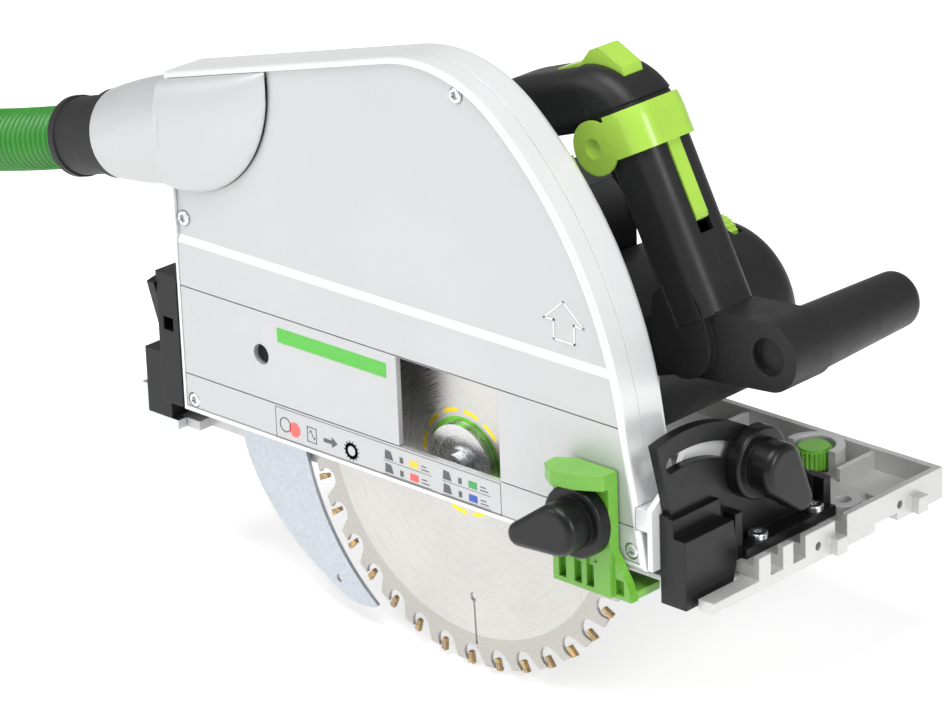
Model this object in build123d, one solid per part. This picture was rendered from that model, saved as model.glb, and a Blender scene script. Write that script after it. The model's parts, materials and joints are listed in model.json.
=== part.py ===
from build123d import *
from math import asin, atan2, cos, degrees, hypot, pi, radians, sin, tan
import os

# Track plunge saw, 210 mm blade, 75 mm depth class, set to full depth.
# Frame: +X the way it is pushed, +Y from the blade towards the motor, +Z up.
# The origin is on the sole, under the arbor in X and halfway across the base in Y.

# ---- Driving dimensions, mm ------------------------------------------------------
BLADE_Y = -80.0            # plane of the blade
ARBOR_Z = 30.0             # arbor height over the sole at full depth
BLADE_R = 105.0
TEETH = 36
PIVOT = (-150.0, 50.0)     # plunge pivot, x and z
TILT_Y = BLADE_Y + 1.1     # bevel axis: along X, on the sole, at the kerf's edge
MOTOR_DIR = radians(50)    # from the arbor up to the motor
GEAR_1 = (1.5, 24, 12)     # module, wheel on the arbor, pinion on the idler
GEAR_2 = (1.25, 40, 12)    # module, wheel on the idler, pinion on the rotor
GUARD_OUT = BLADE_Y - 18.0
GUARD_SEAM = BLADE_Y - 6.0
GUARD_IN = BLADE_Y + 12.0
GUARD_WALL = 3.0
HANDLE_Y = BLADE_Y + 50.0
HANDLE_W, HANDLE_T = 34.0, 30.0
MOTOR_R = 42.0
GRIP = (154.0, 110.0)      # front grip axis, x and z
GRIP_R = (15.5, 13.4)     # front grip radius at its root and its end
BASE_X = (-214.0, 157.0)
BASE_Y = (BLADE_Y + 2.6, BLADE_Y + 160.0)
PLATE = 5.0
RIB_Z = 16.0
PORT_TILT = radians(15)    # slope of the dust port and of the guard's top edge
PORT = (-222.0, BLADE_Y - 3.0, 146.5)
PORT_R = 23.0
SPIGOT_R = 18.6
HOSE_D = 32.0
CLEAR = 0.05               # radial clearance of a running fit

IDLER_D = GEAR_1[0] * (GEAR_1[1] + GEAR_1[2]) / 2
MOTOR_D = IDLER_D + GEAR_2[0] * (GEAR_2[1] + GEAR_2[2]) / 2
IDLER = (IDLER_D * cos(MOTOR_DIR), ARBOR_Z + IDLER_D * sin(MOTOR_DIR))
MOTOR = (MOTOR_D * cos(MOTOR_DIR), ARBOR_Z + MOTOR_D * sin(MOTOR_DIR))


def by(offset):
    """A Y position measured from the blade plane."""
    return BLADE_Y + offset


# ---- Helpers -----------------------------------------------------------------------
def block(x, y, z):
    """A box between two corners given as (low, high) pairs."""
    return Pos(sum(x) / 2, sum(y) / 2, sum(z) / 2) * Box(x[1] - x[0], y[1] - y[0], z[1] - z[0])


def side(y1):
    """Sketch plane seen from the guard side: local x is X, local y is Z."""
    return Plane(origin=(0, y1, 0), x_dir=(1, 0, 0), z_dir=(0, -1, 0))


def slab(sketch, y0, y1):
    """An X-Z sketch given thickness from y0 to y1."""
    return extrude(side(y1) * sketch, amount=y1 - y0)


def front(x0):
    """Sketch plane seen from the front: local x is Y, local y is Z."""
    return Plane(origin=(x0, 0, 0), x_dir=(0, 1, 0), z_dir=(1, 0, 0))


def sheet_x(sketch, x0, x1):
    """A Y-Z sketch given thickness from x0 to x1."""
    return extrude(front(x0) * sketch, amount=x1 - x0)


def rod_y(x, z, r, y0, y1):
    return slab(Pos(x, z) * Circle(r), y0, y1)


def tube_y(x, z, r, bore, y0, y1):
    return slab(Pos(x, z) * (Circle(r) - Circle(bore)), y0, y1)


def rod_x(y, z, r, x0, x1):
    return sheet_x(Pos(y, z) * Circle(r), x0, x1)


def rod_z(x, y, r, z0, z1):
    return Pos(x, y, (z0 + z1) / 2) * Cylinder(r, z1 - z0)


def poly(*points):
    return make_face(Polyline(*points, close=True))


def link(a, ra, b, rb):
    """Outline of a strap round two circles."""
    d = hypot(b[0] - a[0], b[1] - a[1])
    base, spread = atan2(b[1] - a[1], b[0] - a[0]), pi / 2 + asin((rb - ra) / d)
    ends = []
    for centre, r in ((a, ra), (b, rb)):
        for s in (1, -1):
            t = base + s * spread
            ends.append((centre[0] + r * cos(t), centre[1] + r * sin(t)))
    middle = poly(ends[0], ends[1], ends[3], ends[2])
    return middle + Pos(*a) * Circle(ra) + Pos(*b) * Circle(rb)


def ring_sector(centre, r0, r1, start, end):
    """Part of a flat ring between two angles in degrees, with square ends."""
    steps = [start + (end - start) * i / 4 for i in range(5)]
    at = lambda r, t: (centre[0] + r * cos(radians(t)), centre[1] + r * sin(radians(t)))
    outer = ThreePointArc(at(r1, steps[0]), at(r1, steps[2]), at(r1, steps[4]))
    inner = ThreePointArc(at(r0, steps[4]), at(r0, steps[2]), at(r0, steps[0]))
    joins = Line(at(r1, steps[4]), at(r0, steps[4])), Line(at(r0, steps[0]), at(r1, steps[0]))
    return make_face([outer, joins[0], inner, joins[1]])


def slot_sector(centre, r, half, start, end):
    """An arc slot of radius r and half width half, with round ends."""
    shape = ring_sector(centre, r - half, r + half, start, end)
    for t in (start, end):
        shape += Pos(centre[0] + r * cos(radians(t)), centre[1] + r * sin(radians(t))) * Circle(half)
    return shape


def gear(module, teeth, thickness, bore, phase=0.0, slack=0.22):
    """A spur gear in the X-Z plane about the origin, with straight-flanked teeth and a bore."""
    pitch, tip, root = module * teeth / 2, module * (teeth / 2 + 0.95), module * (teeth / 2 - 1.2)
    outline = Circle(root)
    half = pi * module / 4 - slack
    rise, fall = tan(radians(20)) * module * 0.95, tan(radians(20)) * module * 1.2
    tooth = poly(
        (root - 0.4, -half - fall), (pitch, -half), (tip, -half + rise),
        (tip, half - rise), (pitch, half), (root - 0.4, half + fall),
    )
    for i in range(teeth):
        outline += Rot(0, 0, phase + 360 * i / teeth) * tooth
    if bore:
        outline -= Circle(bore)
    return slab(outline, -thickness / 2, thickness / 2)


def soften(shape, axis, radius, last=True):
    """Rounds the outer edges of a shape's lowest or highest face along an axis."""
    face = shape.faces().sort_by(axis)[-1 if last else 0]
    return fillet(face.outer_wire().edges(), radius)


def torx(head):
    """Cuts a small six-point driver recess into the face at local z = 0."""
    star = Circle(1.6)
    for i in range(6):
        star += Rot(0, 0, 60 * i) * (Pos(1.7, 0) * Circle(0.55))
    return head - Pos(0, 0, -0.1) * extrude(star, amount=1.6)


def screw(head_r, head_h, shank_r, length):
    """A pan head screw, head top at z = 0 facing -Z locally, shank going +Z."""
    head = Pos(0, 0, head_h / 2) * Cylinder(head_r, head_h)
    head = fillet(head.edges().sort_by(Axis.Z)[0], 0.8)
    return torx(head) + Pos(0, 0, head_h + length / 2) * Cylinder(shank_r, length)


def facing(x, y, z, way):
    """Placement whose local -Z points along way, so a screw's head looks that way."""
    return Plane(origin=(x, y, z), z_dir=(-way[0], -way[1], -way[2])).location


def save(name, shape):
    export_step(shape, f"parts/{name}.step")


os.makedirs("parts", exist_ok=True)

# ---- Guard ---------------------------------------------------------------------------
REAR_X, GUARD_LOW, GUARD_NOSE = -176.0, 16.0, 127.5
TOP_END = (-26.0, 228.8)   # where the sloping top edge runs into the front arcs
TOP_SLOPE = 14.1


def guard_outline():
    """Sloping top, a tight arc over the front corner, then a wide arc down to the nose."""
    heading = (cos(radians(TOP_SLOPE)), sin(radians(TOP_SLOPE)))
    rear_z = TOP_END[1] + (REAR_X - TOP_END[0]) * tan(radians(TOP_SLOPE))
    corner = JernArc(TOP_END, heading, 78.5, -54.1)
    brow = JernArc(corner @ 1, corner % 1, 208, -42)
    nose = brow @ 1
    return make_face([
        Line(TOP_END, (REAR_X, rear_z)).edge(), corner.edge(), brow.edge(),
        Line(nose, (GUARD_NOSE, GUARD_LOW)).edge(),
        Line((GUARD_NOSE, GUARD_LOW), (REAR_X, GUARD_LOW)).edge(),
        Line((REAR_X, GUARD_LOW), (REAR_X, rear_z)).edge(),
    ])


OUTLINE = guard_outline()
INSET = offset(OUTLINE, -GUARD_WALL)
COVER_INSET = offset(OUTLINE, -GUARD_WALL - 0.25)
MOUTH = block((REAR_X + 6, 119), (GUARD_OUT + GUARD_WALL + 0.4, GUARD_IN - GUARD_WALL), (0, GUARD_LOW + 4))
NOSE_CUT = block((121.2, 140), (GUARD_OUT - 1, GUARD_IN + 1), (35.7, 46.8))
SEAM_HIGH, SEAM_LOW = 82.5, 36.5
CREASE_LOW, CREASE_HIGH = 105.5, 109.0
COVER_RECESS, COVER_STEP = 0.4, 1.4
COVER_BACK = GUARD_OUT + 3.4
COVER_SCREWS = [(18, 219.5), (-168.5, 118), (-168, 23), (118.6, 24.4)]
SCREW_HEAD_R = 3.7
WINDOW_X, WINDOW_TOP = (-26.5, 38.7), 82.0
ACCESS = (-118.0, 60.0)
NECK_R = 20.0
NECK_ARM = hypot(PIVOT[0], ARBOR_Z - PIVOT[1])
NECK_ANGLE = degrees(atan2(ARBOR_Z - PIVOT[1], -PIVOT[0]))
PLUNGE = 30.0
SPLINTER_STUD = (96.0, 37.0)


DOME_CENTRE, DOME_R = (-169.0, 197.0), 64.0
DOME_OUT = GUARD_OUT - 7.5


def dome_section(along, half_y, half_up, corner):
    """A rounded rectangle across the dust channel, along mm in from its mouth."""
    plane = Plane(origin=PORT, x_dir=(0, 1, 0), z_dir=(cos(PORT_TILT), 0, sin(PORT_TILT)))
    return plane.offset(along) * (Pos(-0.05 * along, 0) * RectangleRounded(2 * half_y, 2 * half_up, corner))


def dome_body(shrink):
    """Dust channel: a round mouth that swells into a broad bulge on the cover."""
    region = (Pos(*DOME_CENTRE) * Circle(DOME_R - shrink)) & offset(COVER_INSET, -shrink)
    bulge = slab(region, DOME_OUT + shrink, COVER_BACK + shrink)
    bulge = fillet(bulge.faces().sort_by(Axis.Y)[0].edges(), 7.0 - shrink)
    r = PORT_R - shrink
    at_guard = Plane(origin=(REAR_X + 6, GUARD_OUT + 10, 161), x_dir=(0, 1, 0), z_dir=(1, 0, 0))
    end = at_guard * RectangleRounded(33.5 - 2 * shrink, 53.5 - 2 * shrink, 13 - shrink)
    swell = dome_section(24, 20.5 - shrink, 26.5 - shrink, 19 - shrink)
    return bulge + loft([dome_section(0, r, r, r - 0.1), swell, end])


DOME_OUTER = dome_body(0)


def guard_rim():
    """Outer half of the guard's edge wall, with a lip and bosses behind the cover."""
    rim = soften(slab(OUTLINE, GUARD_OUT, GUARD_SEAM - 0.15), Axis.Y, 2.2, last=False)
    rim -= slab(INSET, GUARD_OUT - 1, GUARD_SEAM)
    rim += slab(INSET - offset(OUTLINE, -GUARD_WALL - 3), COVER_BACK, COVER_BACK + 2.5)
    for x, z in COVER_SCREWS:
        rim += slab((Pos(x, z) * Circle(6)) & INSET, COVER_BACK, GUARD_SEAM - 0.15)
    for x, z in COVER_SCREWS:
        rim -= rod_y(x, z, 1.6, GUARD_OUT, GUARD_SEAM)
    return rim - MOUTH - NOSE_CUT - DOME_OUTER


def cover_band(low, high):
    """One band of the outer cover between two heights, with its screw seats."""
    band = COVER_INSET & (Pos(-20, (low + high) / 2) * Rectangle(400, high - low))
    plate = slab(band, GUARD_OUT + COVER_RECESS, COVER_BACK)
    for x, z in COVER_SCREWS:
        plate -= rod_y(x, z, SCREW_HEAD_R + 0.4, GUARD_OUT - 1, GUARD_OUT + 2.1)
        plate -= rod_y(x, z, 1.8, GUARD_OUT - 1, GUARD_SEAM)
    return plate


def guard_cover():
    """Upper cover: stepped back above a bevelled crease, cut away round the dust dome."""
    plate = cover_band(SEAM_HIGH + 0.3, 240)
    face = GUARD_OUT + COVER_RECESS
    step = poly(
        (face - 1, CREASE_LOW), (face, CREASE_LOW), (face + COVER_STEP, CREASE_HIGH),
        (face + COVER_STEP, 260), (face - 1, 260),
    )
    plate -= sheet_x(step, -200, 150)
    return plate - DOME_OUTER


def window_panel():
    """Middle band: a window onto the flange and a hole for the riving knife's key."""
    panel = cover_band(SEAM_LOW + 0.3, SEAM_HIGH - 0.3)
    panel -= block(WINDOW_X, (GUARD_OUT - 1, GUARD_SEAM), (SEAM_LOW, WINDOW_TOP))
    panel -= rod_y(*SPLINTER_STUD, 3.0, GUARD_OUT - 1, GUARD_SEAM)
    return panel - rod_y(*ACCESS, 5.2, GUARD_OUT - 1, GUARD_SEAM) - NOSE_CUT


def lower_strip():
    """Bottom band, bevelled along its lower edge where the blade comes out."""
    strip = cover_band(GUARD_LOW + 0.2, SEAM_LOW - 0.3)
    face = GUARD_OUT + COVER_RECESS
    top = GUARD_LOW + 4
    bevel = poly((face - 1, GUARD_LOW - 1), (face + 1.8, GUARD_LOW - 1), (face, top), (face - 1, top))
    strip -= sheet_x(bevel, -200, 150)
    return strip - NOSE_CUT - rod_y(*SPLINTER_STUD, 3.0, GUARD_OUT - 1, GUARD_SEAM)


def guard_housing():
    """Cast inner half: edge wall, back wall with the arc slot for the gearbox neck, pivot boss."""
    shell = soften(slab(OUTLINE, GUARD_SEAM, GUARD_IN), Axis.Y, 4.5)
    shell -= slab(INSET, GUARD_SEAM - 1, GUARD_IN - GUARD_WALL)
    for x, z in COVER_SCREWS:
        shell += slab((Pos(x, z) * Circle(5.7)) & INSET, GUARD_SEAM, GUARD_IN - GUARD_WALL + 0.1)
        shell -= rod_y(x, z, 1.6, GUARD_SEAM - 1, GUARD_SEAM + 6)
    shell += rod_y(*PIVOT, 11, GUARD_IN - 9, GUARD_IN)
    neck = slot_sector(PIVOT, NECK_ARM, NECK_R + 2.5, NECK_ANGLE - 1, NECK_ANGLE + PLUNGE + 1)
    shell -= slab(neck, GUARD_SEAM, GUARD_IN + 1)
    shell -= rod_y(*PIVOT, 5.0, GUARD_SEAM, GUARD_IN + 1)
    return shell - MOUTH - NOSE_CUT - DOME_OUTER


def dust_dome():
    """Hollow dust channel, open into the guard and bored for the hose connector."""
    shell = DOME_OUTER - dome_body(2.6)
    inside = block((REAR_X + 3.2, 0), (COVER_BACK + 0.2, GUARD_IN - GUARD_WALL), (100, 240))
    shell -= inside & slab(INSET, GUARD_OUT, GUARD_IN)
    place = port_frame()
    collar = place * Pos(0, 0, 8.5) * (Cylinder(PORT_R - 0.6, 15) - Cylinder(SPIGOT_R + CLEAR, 16))
    shell += collar
    socket = place * Pos(0, 0, 7) * Cylinder(SPIGOT_R + CLEAR, 18)
    return (shell - socket).solids().sort_by(SortBy.VOLUME)[-1]


def port_frame():
    """Local +Z runs from the dust mouth into the guard."""
    return Plane(origin=PORT, x_dir=(0, 1, 0), z_dir=(cos(PORT_TILT), 0, sin(PORT_TILT))).location


def cover_screws():
    return Compound([
        facing(x, GUARD_OUT + 0.5, z, (0, -1, 0)) * screw(SCREW_HEAD_R, 1.6, 1.5, 6) for x, z in COVER_SCREWS
    ])


# ---- Bevel trunnions, segments and base -------------------------------------------------
FRONT_X = 127.9            # face of the front trunnion plate
PLATE_X = 2.9
CLAMP_R = 69.0             # clamp screw's distance from the bevel axis
CLAMP_ANGLE = 50.0
BEVEL = 47.0
TILT = (TILT_Y, 0.0)
CLAMP_Y = TILT_Y + CLAMP_R * cos(radians(CLAMP_ANGLE))
CLAMP_Z = CLAMP_R * sin(radians(CLAMP_ANGLE))
STUD_R = 3.0
BEAM_Z = 11.0
SEGMENT_SCREWS, SCREW_X, REAR_SCREW_X = (44, 84), 141.0, -201.2


def trunnion_sketch():
    """Quadrant plate in Y-Z carrying the clamp stud, joined to a block on the guard's nose."""
    sector = ring_sector(TILT, 30, 80, 44, 84)
    return sector + poly((by(-17), 17), (by(14), 17), (by(30), 42), (by(11), 79), (by(2), 60), (by(-17), 47))


def front_trunnion():
    plate = sheet_x(trunnion_sketch(), FRONT_X, FRONT_X + PLATE_X)
    plate += block((121.6, FRONT_X + 1), (by(-17.4), by(11.6)), (36.0, 46.5))
    return plate - rod_x(CLAMP_Y, CLAMP_Z, STUD_R, FRONT_X - 1, FRONT_X + 5)


def rear_trunnion():
    """Dark plastic rear bracket with a stepped outline and a slot for the depth scale."""
    outer = sheet_x(trunnion_sketch(), -190.8, -187.9)
    post = block((-190.8, REAR_X - 0.3), (by(-17.4), by(-4)), (17, 86))
    post -= block((-187, -180), (by(-18), by(-3)), (56, 63))
    foot = block((-190.8, REAR_X - 0.3), (by(-17.4), by(10)), (17, 30))
    return outer + post + foot - rod_x(CLAMP_Y, CLAMP_Z, STUD_R, -192, -186)


def segment_sketch():
    """Fixed quadrant in Y-Z with the arc slot that the clamp stud runs in."""
    sector = ring_sector(TILT, 12, 82, 12, 104)
    foot = poly((by(-12), BEAM_Z + 0.2), (by(94), BEAM_Z + 0.2), (by(94), 24), (by(84), 36), (by(-12), 44))
    shape = (sector + foot) & (Pos(by(40), 56) * Rectangle(140, 90))
    return shape - slot_sector(TILT, CLAMP_R, STUD_R + 1, CLAMP_ANGLE - 1, CLAMP_ANGLE + BEVEL + 1)


def segment_front():
    x0 = FRONT_X + PLATE_X + 0.3
    wall = sheet_x(segment_sketch(), x0, x0 + 5)
    tread = block((x0, 146), (by(30), by(94)), (BEAM_Z + 0.1, 16))
    cheek = sheet_x(poly((by(-12), 0.4), (by(20), 0.4), (by(24), 16), (by(20), 43), (by(-12), 43)), x0, 146)
    cheek -= block((139, 150), (by(-20), by(30)), (43 - 9, 60))
    ribs = block((x0, 143), (by(89.2), by(94)), (BEAM_Z + 0.1, 30))
    ribs += block((x0, 143), (by(26), by(31)), (BEAM_Z + 0.1, 34))
    body = wall + tread + cheek + ribs
    for y in SEGMENT_SCREWS:
        body -= rod_z(SCREW_X, by(y), 2.1, 0, 20)
    notch = slot_sector(TILT, CLAMP_R, STUD_R + 1, CLAMP_ANGLE - 1, CLAMP_ANGLE + BEVEL + 1)
    return body - sheet_x(notch, x0 - 1, x0 + 8)


def segment_rear():
    wall = sheet_x(segment_sketch(), -196.1, -191.1)
    tread = block((-206, -191.1), (by(30), by(94)), (BEAM_Z + 0.1, 16))
    cheek = block((-208, -191.1), (by(-12), by(20)), (5.3, 40))
    body = wall + tread + cheek
    for y in SEGMENT_SCREWS:
        body -= rod_z(REAR_SCREW_X, by(y), 2.1, 0, 20)
    arc = slot_sector(TILT, CLAMP_R, STUD_R + 1, CLAMP_ANGLE - 1, CLAMP_ANGLE + BEVEL + 1)
    return body - sheet_x(arc, -197, -190)


def segment_screws():
    pan = screw(4.8, 3.0, 2.0, 9)
    places = [(x, y) for x in (SCREW_X, REAR_SCREW_X) for y in SEGMENT_SCREWS]
    return Compound([facing(x, by(y), 19.1, (0, 0, 1)) * pan for x, y in places])


GROOVE_Y, GROOVE_W, GROOVE_D = by(118), 16.4, 4.0
KNOB_X, KNOB_Y, KNOB_R = (97.0, -150.0), by(138), 9.0
FRONT_HOLES, FRONT_HOLE_R, FRONT_HOLE_Z = (68, 128), 2.1, 7.5
GLIDE_Y = (60, 146)
WELL = (143.0, 103.0)      # vertical accessory hole, x and y from the blade plane


def base_plate():
    """Die-cast base: plate, raised rail channel, rim walls, cross ribs, bosses and pockets."""
    x0, x1 = BASE_X
    base = block((x0, x1), BASE_Y, (0, PLATE))
    base += block((131, x1), (by(-6), by(4)), (0, PLATE)) + block((x0, -178), (by(-6), by(4)), (0, PLATE))
    base -= block((131, 148), (by(-13), by(25)), (-1, PLATE + 1))
    base += block((x0, x1), (GROOVE_Y - 12, GROOVE_Y + 12), (0, 8))
    base += block((x0, x1), (by(156.5), by(160)), (0, RIB_Z))
    base += block((153.5, x1), (by(26), by(160)), (0, RIB_Z))
    base += block((x0, x0 + 3.5), (by(26), by(160)), (0, RIB_Z))
    base += block((118, x1), (by(26), by(96)), (0, BEAM_Z)) + block((x0, -188), (by(21), by(96)), (0, BEAM_Z))
    for x in (-170, -118, -66, -14, 38, 78, 116):
        base += block((x, x + 2.6), (by(131), by(157)), (0, RIB_Z - 2))
    for x in (-150, -104, -58):
        base += block((x, x + 2.6), (by(50), by(107)), (0, 9))
    for x in (-172, 112):
        base += block((x, x + 3), (by(26), by(107)), (0, BEAM_Z))
    for x in KNOB_X:
        base += rod_z(x, KNOB_Y, 15, 0, 19) - block((x - 20, x + 20), (by(100), KNOB_Y - 2), (PLATE, 20))
        base -= rod_z(x, KNOB_Y, KNOB_R + 1.6, 7, 20) + rod_z(x, KNOB_Y, 4.0 + CLEAR, -1, 8)
    base += rod_z(WELL[0], by(WELL[1]), 8.5, 0, RIB_Z - 1)
    for y in FRONT_HOLES:
        base += block((141, x1), (by(y - 6), by(y + 6)), (2, BEAM_Z))
        base += block((x1 - 1, x1 + 5), (by(y + 8), by(y + 15)), (1, 9))
        base -= Pos(x1 - 7, by(y), FRONT_HOLE_Z) * Rot(0, 90, 0) * Cylinder(FRONT_HOLE_R, 16)
    for y in (34, 50, 80):
        base -= block((149, x1 + 1), (by(y), by(y + 9)), (PLATE, 20))
    base -= rod_z(WELL[0], by(WELL[1]), 4.0, -1, 20)
    base -= block((x0 - 1, x1 + 1), (GROOVE_Y - GROOVE_W / 2, GROOVE_Y + GROOVE_W / 2), (-1, GROOVE_D))
    for x, y in [(x, y) for x in (SCREW_X, REAR_SCREW_X) for y in SEGMENT_SCREWS]:
        base -= rod_z(x, by(y), 2.1, 4, 12)
    for y in GLIDE_Y:
        base -= block((x0 + 20, x1 - 20), (by(y) - 4, by(y) + 4), (-1, 1.2))
    base -= block((118.1, 122), (by(40), by(90)), (6, 12))
    return base


def glide_strips():
    """Low-friction strips let into the sole, flush with it."""
    x0, x1 = BASE_X
    return Compound([block((x0 + 20.2, x1 - 20.2), (by(y) - 3.8, by(y) + 3.8), (0, 1.1)) for y in GLIDE_Y])


def rear_foot():
    """Zinc heel block bolted behind the blade, in line with it."""
    upright = block((-212.0, -208.2), (by(-12), by(2)), (5.2, 20))
    return upright + block((-212.0, -187), (by(-12), by(-6.2)), (0.4, 5.2))


def rail_adjuster(x):
    """Ribbed cam knob that takes up the play between groove and guide rail."""
    ring = Circle(KNOB_R - 0.6)
    for i in range(24):
        ring += Rot(0, 0, 15 * i) * (Pos(KNOB_R - 0.7, 0) * Circle(0.75))
    knob = Pos(x, KNOB_Y, 8.3) * extrude(ring, amount=9.0)
    knob = knob + rod_z(x, KNOB_Y, KNOB_R - 1.4, 17.3, 18.4)
    return knob + rod_z(x, KNOB_Y, 4.0, 1.5, 8.3)


KNOB_FLANGE = 17.5


def wing_knob(bore):
    """Clamp knob about local +Z: round flange, domed hub and a wing on one side."""
    disc = Pos(0, 0, 3.5) * Cylinder(KNOB_FLANGE, 7)
    disc = fillet(disc.edges().sort_by(Axis.Z)[-1], 1.6)
    wing = extrude(link((0, 0), 12.5, (24, 0), 6.0), amount=21)
    wing = fillet(wing.faces().sort_by(Axis.Z)[-1].edges(), 4.0)
    lower = Pos(0, 0, -1) * extrude(Pos(26, 0) * Rectangle(40, 40), amount=9)
    wing -= lower & (Pos(30, 0, 3) * Box(23, 40, 10))
    return disc + wing - Cylinder(bore, 30)


STUD_TIP = 14.0


def clamp_knob(place):
    return place * wing_knob(STUD_R + CLEAR)


FRONT_KNOB = Plane(
    origin=(FRONT_X + PLATE_X + 5.7, CLAMP_Y, CLAMP_Z), x_dir=(0, 0.6, -0.8), z_dir=(1, 0, 0),
).location
REAR_KNOB = Plane(origin=(-196.5, CLAMP_Y, CLAMP_Z), x_dir=(0, 0.6, -0.8), z_dir=(-1, 0, 0)).location
SPLINTER_KNOB = Plane(
    origin=(SPLINTER_STUD[0], by(-25.2), SPLINTER_STUD[1]), x_dir=(-0.94, 0, -0.34), z_dir=(0, -1, 0)
).location


def clamp_studs():
    """Studs fixed in the guard for the two bevel clamps and the splinter guard."""
    front_stud = rod_x(CLAMP_Y, CLAMP_Z, STUD_R, FRONT_X + 0.1, FRONT_X + PLATE_X + 5.7 + STUD_TIP)
    rear_stud = rod_x(CLAMP_Y, CLAMP_Z, STUD_R, -196.5 - STUD_TIP, -188.0)
    side_stud = rod_y(*SPLINTER_STUD, STUD_R, by(-25.2) - STUD_TIP, COVER_BACK)
    side_stud += rod_y(*SPLINTER_STUD, 7, COVER_BACK, COVER_BACK + 2)
    return Compound([front_stud, rear_stud, side_stud])


SPLINTER_LIFT = 9.0


def splinter_guard():
    """Green slide on the outer face: slotted plate, thumb tab, bar, ribbed foot and toe."""
    plate = block((77, 112), (by(-23.4), by(-18.3)), (14, 56))
    slot = Pos(SPLINTER_STUD[0], SPLINTER_STUD[1] - SPLINTER_LIFT / 2) * Rectangle(6.8, SPLINTER_LIFT + 6.8)
    plate -= slab(slot, by(-30), by(-10))
    bar = block((104, 112), (by(-24.8), by(-18.3)), (1.5, 62))
    petal = poly(
        (112, by(-18.3)), (89, by(-18.3)), (79, by(-24)), (80, by(-32)),
        (88, by(-37)), (100, by(-35)), (112, by(-28)),
    )
    tab = Pos(0, 0, 55.2) * extrude(petal, amount=7)
    tab = fillet(tab.edges().filter_by(Axis.Z), 2.0)
    foot = block((77, 118), (by(-18.4), by(-2.6)), (1.5, 5.5))
    outer = block((77, 104), (by(-24.8), by(-18.3)), (1.5, 17))
    for x in (80.5, 90.0, 97.5):
        outer -= block((x, x + 4.5), (by(-27), by(-21)), (4, 15 if x < 85 else 18))
    toe = slab(poly((112, 1.5), (123, 1.5), (121, 9), (112, 24)), by(-23), by(-18.3))
    toe += block((112, 122), (by(-18.4), by(-2.6)), (1.5, 5.5))
    toe -= block((113.5, 118.5), (by(-24), by(-20)), (3.5, 11))
    return plate + bar + tab + foot + outer + toe


# ---- Dust connector and hose -------------------------------------------------------------
SLEEVE = 36.0
HOSE_ROUTE = [
    (-256.8, 137.2), (-297.4, 126.3), (-338.5, 117.6), (-378.9, 106.0), (-417.8, 90.3), (-454.2, 69.3),
]
HOSE_BORE = 13.5


def dust_connector():
    """Swivel cuff: spigot in the dome, lip ring and sleeve round the hose's end."""
    place = port_frame()
    body = place * Pos(0, 0, 5) * Cylinder(SPIGOT_R, 18)
    body += place * Pos(0, 0, -2.9) * Cylinder(22.2, 5)
    body += place * Pos(0, 0, -(5.4 + SLEEVE) / 2) * Cylinder(19.6, SLEEVE - 5.4 + 0.2)
    body += place * Pos(0, 0, -SLEEVE + 2) * Cylinder(20.4, 4)
    return body - place * Pos(0, 0, -5) * Cylinder(HOSE_BORE, 70)


def hose_path():
    points = [(x, PORT[1], z) for x, z in HOSE_ROUTE]
    radii = []
    for a, b, c in zip(points, points[1:], points[2:]):
        u, v = Vector(*b) - Vector(*a), Vector(*c) - Vector(*b)
        radii.append(0.45 * min(u.length, v.length) / tan(radians(u.get_angle(v)) / 2))
    print("hose bend radii", [round(r) for r in radii])
    return FilletPolyline(*points, radius=radii)


def suction_hose():
    path = hose_path()
    start = Plane(origin=path @ 0, z_dir=path % 0)
    tube = sweep(start * Circle(HOSE_D / 2), path=path) - sweep(start * Circle(HOSE_BORE), path=path)
    section = pi * ((HOSE_D / 2) ** 2 - HOSE_BORE**2)
    print("hose length", round(path.length, 1), "volume ratio", round(tube.volume / (section * path.length), 4))
    return tube


SLEEVE_END = 46.0


def end_sleeve():
    """Rubbery sleeve that grips the far end of the hose and takes the extractor's cuff."""
    a, b = HOSE_ROUTE[-2:]
    d = Vector(b[0] - a[0], 0, b[1] - a[1]).normalized()
    place = Plane(origin=(b[0], PORT[1], b[1]), x_dir=(0, 1, 0), z_dir=tuple(d)).location
    body = place * Pos(0, 0, SLEEVE_END / 2) * Cylinder(19.5, SLEEVE_END)
    body = fillet(body.edges().sort_by(Axis.X)[0], 1.5)
    body += place * Pos(0, 0, 2.5) * Cylinder(20.8, 5)
    return body - place * Pos(0, 0, SLEEVE_END / 2) * Cylinder(HOSE_BORE, SLEEVE_END + 2)


# ---- Saw head: gearbox, motor, handle ----------------------------------------------------
CASE_Y = (14.0, 42.0)      # gearbox casting, from the blade plane
LID_Y = (42.0, 45.0)
MOTOR_Y = (45.0, 130.0, 156.0)
ARBOR = (0.0, ARBOR_Z)
NECK_Y = 3.5
SHAFT_R, BEARING_R = 8.0, 13.0
PIN_R = 5.0
ARM_Y = 30.0
TUBE_WALL = 3.5
FOOT_PAD = (-74.0, 58.0)
BRUSH_Y = 121.0


def case_outline(grow):
    """Gearbox silhouette round the arbor and the motor."""
    return link(ARBOR, 23 + grow, MOTOR, 44 + grow)


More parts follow.
